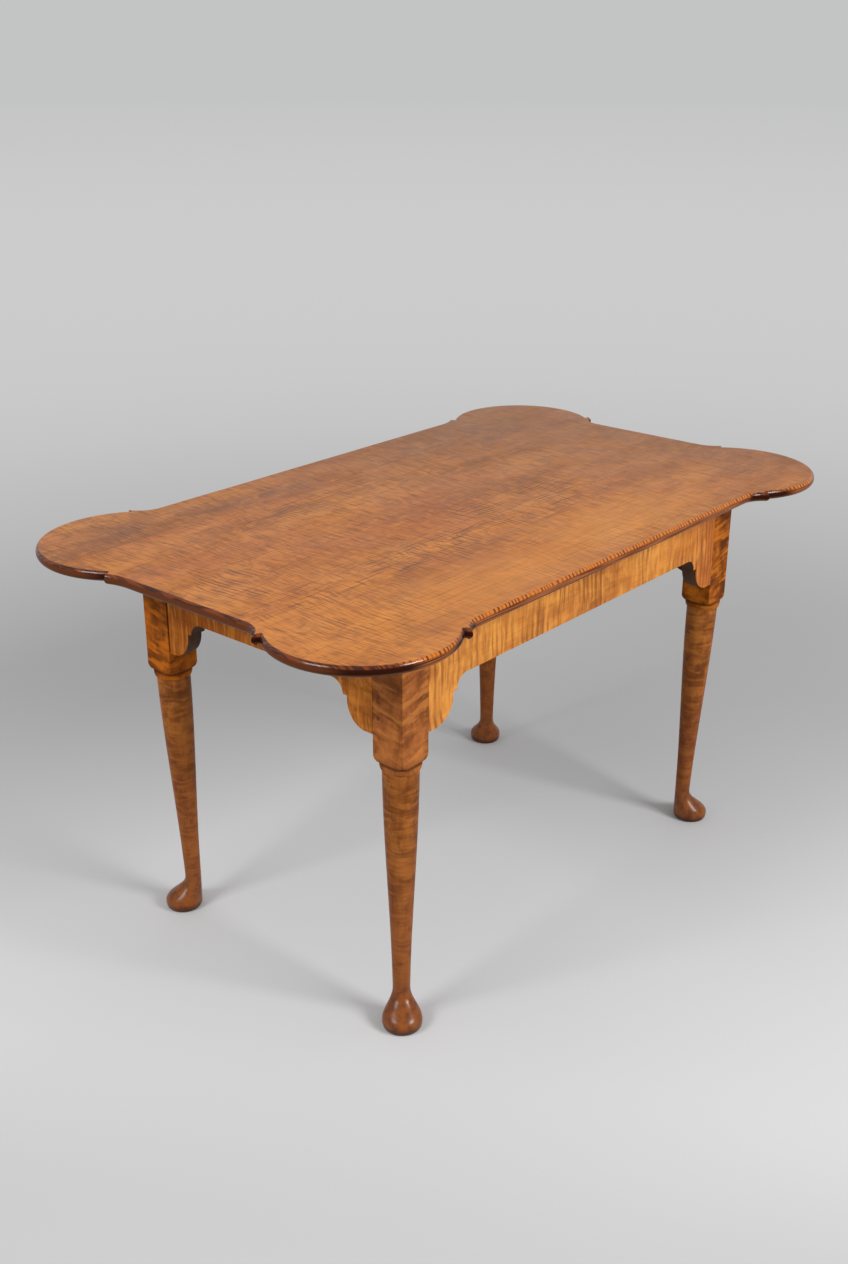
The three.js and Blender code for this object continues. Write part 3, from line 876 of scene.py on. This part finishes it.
def shoulder_profile():
    wide = post_corner + fit
    profile = [(0, shaft_top)]
    for angle in steps(0, QUARTER, lower_round_steps):
        radius = lower_round_foot + lower_round_width * math.sin(angle)
        profile.append((radius, ledge_height - lower_round_height * math.cos(angle)))
    profile.append((lower_round_top, ledge_height + round_fillet))
    for angle in steps(0, QUARTER, upper_round_steps):
        radius = upper_round_foot + (wide - upper_round_foot) * math.sin(angle)
        profile.append((radius, shoulder_top - upper_round_height * math.cos(angle)))
    return profile + [(wide, frame_top + overrun), (0, frame_top + overrun)]


def leg_mesh():
    """The leg of the corner at +X +Y, round the axis of its post."""
    square = [Vector((x, y)) * post_half for x, y in ((1, 1), (-1, 1), (-1, -1), (1, -1))]
    rounded = []
    for corner in square:
        centre = corner * (1 - post_arris / post_half)
        start = math.atan2(corner.y, corner.x) - QUARTER / 2
        rounded += arc(centre.x, centre.y, post_arris, post_arris, start, start + QUARTER, arris_steps)
    post = slab_mesh(rounded, [(0, frame_top), (0, shaft_top - overrun)])
    post = combined(post, lathe_mesh(shoulder_profile(), shoulder_sides), "INTERSECT")
    return combined(post, lathe_mesh(shaft_profile(), shaft_sides, leg_shift), "UNION")


def tenon_box(half_length, end, grow, tip_gap):
    root = half_length - overrun
    tip = half_length + tenon_length + tip_gap
    near, far = sorted((end * root, end * tip))
    low = (near, tenon_setback - grow, tenon_bottom - grow)
    high = (far, tenon_setback + tenon_thickness + grow, tenon_top + grow)
    return box_mesh(low, high)


def peg_mesh(half_length, end, height, radius, length, start, sides=peg_hole_sides):
    bar = lathe_mesh([(0, 0), (radius, 0), (radius, length), (0, length)], sides)
    bar.transform(Matrix.Rotation(-QUARTER, 4, "X"))
    x = end * (half_length + peg_setback)
    return moved(bar, Matrix.Translation((x, start, height)))


def make_legs(turned, squares):
    shape = leg_mesh()
    for depth_name, turn_y in (("front", -1), ("back", 1)):
        for width_name, turn_x in (("left", -1), ("right", 1)):
            leg = shape.copy()
            for vert in leg.verts:
                vert.co.x = vert.co.x * turn_x + middle_x + turn_x * (frame_length / 2 - post_half)
                vert.co.y = vert.co.y * turn_y + middle_y + turn_y * (frame_width / 2 - post_half)
            bmesh.ops.recalc_face_normals(leg, faces=leg.faces)
            for side in (depth_name, width_name):
                matrix = side_matrix(side)
                half = SIDES[side][2]
                toward = matrix.inverted() @ Vector((turn_x * frame_length, turn_y * frame_width, 0))
                end = 1 if toward.x > 0 else -1
                cutters = [tenon_box(half, end, fit, tenon_end_gap)]
                for height in (low_peg_height, high_peg_height):
                    length = overrun + peg_length + fit
                    cutters.append(peg_mesh(half, end, height, peg_radius + fit, length, -overrun))
                for cutter in cutters:
                    leg = combined(leg, moved(cutter, matrix), "DIFFERENCE")
            for face in leg.faces:
                face.material_index = 1 if max(vert.co.z for vert in face.verts) > shaft_top + fit else 0
            corner = f"{depth_name}_{width_name}"
            show("leg_" + corner, "turned", leg, [turned, squares[corner]], 20)
    shape.free()


# Aprons

def scroll(half_length, round_width, shrink):
    """Right-hand half of an apron's lower edge, from the middle out to the post."""
    step_height = apron_bottom - bracket_cove_radius
    round_centre = step_height - bracket_step_rise
    round_edge = half_length - bracket_flat - round_width
    cove_x = round_edge - bracket_step_width - bracket_cove_radius
    cove = (bracket_cove_radius, bracket_cove_radius)
    points = arc(cove_x, step_height, *cove, QUARTER, 0, bracket_cove_steps)
    points += [Vector((round_edge, step_height))]
    round_x = round_edge + round_width
    turn = (math.pi, math.pi + QUARTER)
    points += arc(round_x, round_centre, round_width, bracket_round_height, *turn, bracket_round_steps)
    return points + [Vector((half_length - shrink, bracket_bottom))]


def apron_mesh(side):
    half = SIDES[side][2]
    round_width = bracket_round_width_long if side in ("front", "back") else bracket_round_width_short
    shrink = shrinkage_gap if side == "left" else 0
    right = scroll(half, round_width, 0)
    left = [Vector((-point.x, point.y)) for point in scroll(half, round_width, shrink)]
    outline = left[::-1] + right + [Vector((half, frame_top)), Vector((shrink - half, frame_top))]
    # The outline lies in length and height; its thickness runs out of the table.
    stand = Matrix(((1, 0, 0, 0), (0, 0, -1, apron_thickness), (0, 1, 0, 0), (0, 0, 0, 1)))
    bm = slab_mesh(outline, rounded_profile(apron_thickness, apron_arris), stand)
    for end in (-1, 1):
        bm = combined(bm, tenon_box(half, end, 0, 0), "UNION")
        for height in (low_peg_height, high_peg_height):
            hole = peg_mesh(half, end, height, peg_radius + fit, peg_length + 2 * overrun, -overrun)
            bm = combined(bm, hole, "DIFFERENCE")
    slot_top = frame_top - tongue_drop + fit
    slot_bottom = slot_top - tongue_height - 2 * fit
    slot_end = apron_thickness - tongue_length - slot_end_gap
    for x in button_places(side):
        reach = button_width / 2 + slot_side_slack
        low = (x - reach, slot_end, slot_bottom)
        high = (x + reach, apron_thickness + overrun, slot_top)
        bm = combined(bm, box_mesh(low, high), "DIFFERENCE")
    for face in bm.faces:
        face.material_index = 1 if face.normal.y > outer_side_normal else 0
    return moved(bm, side_matrix(side))


# Pegs, buttons and screws

# The pegs that time has darkened
DARK_PEGS = ("peg_left_a_low", "peg_left_b_low", "peg_left_b_high")


def make_pegs(side):
    half = SIDES[side][2]
    for end_name, end in (("a", -1), ("b", 1)):
        for level_name, height in (("low", low_peg_height), ("high", high_peg_height)):
            bar = peg_mesh(half, end, height, peg_radius, peg_length + peg_proud, -peg_proud, peg_sides)
            rim = [edge for edge in bar.edges if all(v.co.y < 0 for v in edge.verts)]
            bmesh.ops.bevel(bar, geom=rim, offset=peg_end_round, segments=2, affect="EDGES")
            name = f"peg_{side}_{end_name}_{level_name}"
            material = dark_peg if name in DARK_PEGS else pale_peg
            moved(bar, side_matrix(side))
            show(name, "whittled", bar, [material], 35, weighted=False)


def screw_mesh(x, grow):
    """A countersunk screw at a place along its side. grow makes it the cutter of its own hole."""
    neck = button_bottom + screw_head_height
    tip = frame_top + screw_bite
    bottom = button_bottom - (overrun if grow else 0)
    profile = [
        (0, bottom),
        (screw_head_radius + grow, bottom),
        (screw_head_radius + grow, button_bottom + screw_head_rim),
        (screw_radius + grow, neck),
        (screw_radius + grow, tip - screw_tip),
        (0, tip + grow),
    ]
    place = Matrix.Translation((x, apron_thickness + screw_setback, 0))
    return moved(lathe_mesh(profile, screw_sides), place)


def make_screw(side, x, name, material):
    across = screw_head_radius + overrun
    y = apron_thickness + screw_setback
    low = (x - across, y - screw_slot_width / 2, button_bottom - overrun)
    high = (x + across, y + screw_slot_width / 2, button_bottom + screw_slot_depth)
    bm = combined(screw_mesh(x, 0), box_mesh(low, high), "DIFFERENCE")
    show(name, "slotted", moved(bm, side_matrix(side)), [material], weighted=False)


def make_button(side, x, name, material):
    heel = apron_thickness + fit
    tip = apron_thickness - tongue_length
    tongue_top = frame_top - tongue_drop
    outline = [
        (heel, frame_top),
        (heel, tongue_top),
        (tip, tongue_top),
        (tip, tongue_top - tongue_height),
        (heel, tongue_top - tongue_height),
        (heel, button_bottom),
        (heel + button_length, button_bottom),
        (heel + button_length, frame_top),
    ]
    # The outline lies in depth and height; its thickness runs along the apron.
    stand = Matrix(((0, 0, 1, x - button_width / 2), (1, 0, 0, 0), (0, 1, 0, 0), (0, 0, 0, 1)))
    bm = slab_mesh([Vector(point) for point in outline], rounded_profile(button_width, button_arris), stand)
    bm = combined(bm, screw_mesh(x, fit), "DIFFERENCE")
    show(name, "planed", moved(bm, side_matrix(side)), [material])


# The whole table

# Each board's place in the noise, how far its grain turns, and its light, middle and dark wood
top_woods = {
    "front": (0.0, 0.012, colour(216, 136, 56), colour(202, 122, 46), colour(160, 90, 36)),
    "middle": (1.7, -0.020, colour(212, 134, 58), colour(196, 118, 46), colour(154, 88, 37)),
    "back": (3.9, 0.026, colour(206, 132, 60), colour(186, 114, 50), colour(146, 84, 38)),
}
top_materials = [top_maple(f"top_maple_{board}_board", *wood) for board, wood in top_woods.items()]
post_tones = {
    "front_left": (colour(196, 122, 60), colour(162, 94, 48), colour(110, 60, 28)),
    "front_right": (colour(208, 118, 30), colour(150, 78, 16), colour(84, 38, 8)),
    "back_left": (colour(206, 112, 24), colour(156, 82, 18), colour(100, 50, 14)),
    "back_right": (colour(184, 104, 28), colour(144, 78, 20), colour(98, 48, 12)),
}
post_maples = {
    corner: curly_maple(
        f"leg_maple_post_{corner}", Z, -0.24, *tones,
        pitch=0.0110, reach=0.055, waves=0.66, lines=0.14, mottle=0.42, shine=0.03, part="post",
    )
    for corner, tones in post_tones.items()
}
leg_maple = curly_maple(
    "leg_maple_shaft", Z, -0.10, colour(178, 108, 48), colour(142, 82, 34), colour(100, 52, 22),
    pitch=0.0080, reach=0.040, waves=0.52, lines=0.24, mottle=0.60, shine=0.06, part="shaft",
)
long_apron_maple = curly_maple(
    "apron_maple_long", X, 0.03, colour(232, 156, 70), colour(214, 138, 56), colour(170, 98, 40),
    pitch=0.0125, reach=0.060, waves=0.50, lines=0.60, mottle=0.36, shine=0.11,
    cast=(X, 0.16, 0.42, 0.80, colour(178, 88, 14)),
)
short_apron_maple = curly_maple(
    "apron_maple_short", Y, 0.0, colour(216, 136, 54), colour(180, 106, 40), colour(122, 64, 22),
    pitch=0.0075, reach=0.07, waves=0.50, lines=0.26, mottle=0.55, shine=0.04,
    cast=(Y, -0.17, 0.06, 0.60, colour(150, 72, 10)),
)
# The bare inner faces and the top's underside have very dark tones: their age, and painted shade as well.
bare_long = bare_maple("bare_maple_long", X, colour(98, 62, 40), colour(58, 36, 24))
bare_short = bare_maple("bare_maple_short", Y, colour(84, 54, 36), colour(48, 31, 22))
long_woods = (long_apron_maple, bare_long)
short_woods = (short_apron_maple, bare_short)
apron_woods = {"front": long_woods, "back": long_woods, "left": short_woods, "right": short_woods}
button_maple = bare_maple("button_maple_planed", Y, colour(182, 134, 84), colour(140, 96, 56))
pale_peg = peg_end("peg_end_grain_pale", colour(150, 92, 40), colour(118, 66, 28))
dark_peg = peg_end("peg_end_grain_dark", colour(120, 72, 40), colour(90, 50, 26))
steel = screw_steel()

make_top(top_materials, bare_long)
make_legs(leg_maple, post_maples)
for side in SIDES:
    show(f"apron_{side}", "sawn", apron_mesh(side), apron_woods[side])
    make_pegs(side)
    for index, x in enumerate(button_places(side)):
        make_button(side, x, f"top_button_{side}_{index + 1}", button_maple)
        make_screw(side, x, f"button_screw_{side}_{index + 1}", steel)


# Floor, light and camera

photo_height_px = 1264
focal_px = 1433.5
sensor_height = 24.0
camera_place = Vector((-1.7754, -1.4538, 1.4073))
camera_heading = math.radians(49.41)  # clockwise from +Y
camera_pitch = math.radians(22.69)  # downwards
camera_roll = math.radians(0.13)

camera_clip_end = 100
floor_half = 40

LAMP_AIM = Vector((0, 0, 0.5))
# The place of each lamp, its width and height, and its power in watts
LAMPS = {
    "softbox_right": ((0.4, -4.2, 3.0), (1.75, 1.35), 150),
    "softbox_left": ((-3.1, 0.4, 2.5), (1.3, 1.0), 48),
}
FILL = 0.5
FILL_COLOUR = colour(255, 255, 254)
FLOOR_NEAR = colour(215, 215, 216)
FLOOR_BEHIND = colour(192, 192, 193)
FLOOR_FRONT = colour(202, 202, 203)
FLOOR_MOTTLE = colour(180, 180, 180)
MOTTLE_SCALE = 1.5
MOTTLE_AMOUNT = 0.04
# Where the paper darkens, as painted shade, from the tone near the table to the tones behind it and in front
BEHIND_SPAN = (-0.15, 0.85)
FRONT_SPAN = (-0.55, -0.90)
BACKDROP = colour(195, 197, 197)
# How bright the paper looks at a distance from the table, as painted shade: darkest behind the table's own
# light
FLOOR_REACH = 33.0
FLOOR_SHADES = (
    (1.0, 166), (1.35, 172), (1.65, 178), (2.0, 183), (3.2, 197), (4.0, 201),
    (5.0, 203), (8.0, 204), (12.0, 203), (18.0, 200), (25.0, 198),
)
# Where the paper gives way to those shades
GLOW_START = 0.8
GLOW_FULL = 2.4


def seen_directly(nodes, links):
    """1 for what the camera sees, straight or in a gloss, and 0 for the light that falls on things."""
    path = nodes.new("ShaderNodeLightPath").outputs
    seen = path["Is Camera Ray"]
    for kind in ("Is Glossy Ray", "Is Transmission Ray"):
        total = nodes.new("ShaderNodeMath")
        total.operation = "ADD"
        total.use_clamp = True
        links.new(seen, total.inputs[0])
        links.new(path[kind], total.inputs[1])
        seen = total.outputs[0]
    return seen


def make_camera():
    data = bpy.data.cameras.new("camera")
    data.sensor_fit = "VERTICAL"
    data.sensor_height = sensor_height
    data.lens = focal_px * sensor_height / photo_height_px
    data.clip_end = camera_clip_end
    camera = bpy.data.objects.new("camera", data)
    turn = Matrix.Rotation(-camera_heading, 4, "Z") @ Matrix.Rotation(QUARTER - camera_pitch, 4, "X")
    camera.matrix_world = Matrix.Translation(camera_place) @ turn @ Matrix.Rotation(camera_roll, 4, "Z")
    bpy.context.scene.collection.objects.link(camera)
    bpy.context.scene.camera = camera


def make_floor():
    """Pale paper that takes the table's shadow and painted shade, and further off a glowing backdrop with
    painted shades.
    """
    bm = bmesh.new()
    bmesh.ops.create_grid(bm, x_segments=2, y_segments=2, size=floor_half)
    g = Graph("floor_paper", roughness=0.95, specular_ior_level=0.2)
    mottle = g.noise(g.place, MOTTLE_SCALE)
    # painted shade: the paper darker behind the table and in front of it
    behind = g.toward(0.8, 0.5)
    paper = g.blend(g.spread(behind, *BEHIND_SPAN), FLOOR_NEAR, FLOOR_BEHIND)
    paper = g.blend(g.spread(behind, *FRONT_SPAN), paper, FLOOR_FRONT)
    paper = g.tint(paper, FLOOR_MOTTLE, mottle, 0.3, 0.7, MOTTLE_AMOUNT)
    g.join(g.shader.inputs["Base Color"], paper)
    away = g.length(g.place)
    glow = g.nodes.new("ShaderNodeEmission")
    # painted shade on the glowing backdrop, darkest just beyond the table
    shades = [(reach / FLOOR_REACH, colour(level, level, level)) for reach, level in FLOOR_SHADES]
    shades.append((1.0, BACKDROP))
    g.join(glow.inputs["Color"], g.ramp(g.times(away, 1 / FLOOR_REACH), *shades))
    mix = g.nodes.new("ShaderNodeMixShader")
    share = g.times(seen_directly(g.nodes, g.links), g.spread(away, GLOW_START, GLOW_FULL))
    g.join(mix.inputs[0], share)
    g.links.new(g.shader.outputs[0], mix.inputs[1])
    g.links.new(glow.outputs[0], mix.inputs[2])
    g.links.new(mix.outputs[0], g.nodes["Material Output"].inputs["Surface"])
    new_object("floor", bm, [g.material])


def make_light(name, place, size, power):
    data = bpy.data.lights.new(name, "AREA")
    data.shape = "RECTANGLE"
    data.size, data.size_y = size
    data.energy = power
    light = bpy.data.objects.new(name, data)
    place = Vector(place)
    turn = (place - LAMP_AIM).to_track_quat("Z", "Y").to_matrix().to_4x4()
    light.matrix_world = Matrix.Translation(place) @ turn
    bpy.context.scene.collection.objects.link(light)


def make_world():
    """Even light all round, behind which the camera and reflections see the pale backdrop."""
    world = bpy.data.worlds.new("studio")
    world.use_nodes = True
    nodes, links = world.node_tree.nodes, world.node_tree.links
    fill = nodes["Background"]
    fill.inputs["Color"].default_value = FILL_COLOUR
    fill.inputs["Strength"].default_value = FILL
    backdrop = nodes.new("ShaderNodeBackground")
    backdrop.inputs["Color"].default_value = BACKDROP
    mix = nodes.new("ShaderNodeMixShader")
    links.new(seen_directly(nodes, links), mix.inputs[0])
    links.new(fill.outputs[0], mix.inputs[1])
    links.new(backdrop.outputs[0], mix.inputs[2])
    links.new(mix.outputs[0], nodes["World Output"].inputs["Surface"])
    bpy.context.scene.world = world


make_camera()
make_floor()
for lamp, facts in LAMPS.items():
    make_light(lamp, *facts)
make_world()
bpy.context.scene.view_settings.view_transform = "Standard"

bpy.context.view_layer.update()
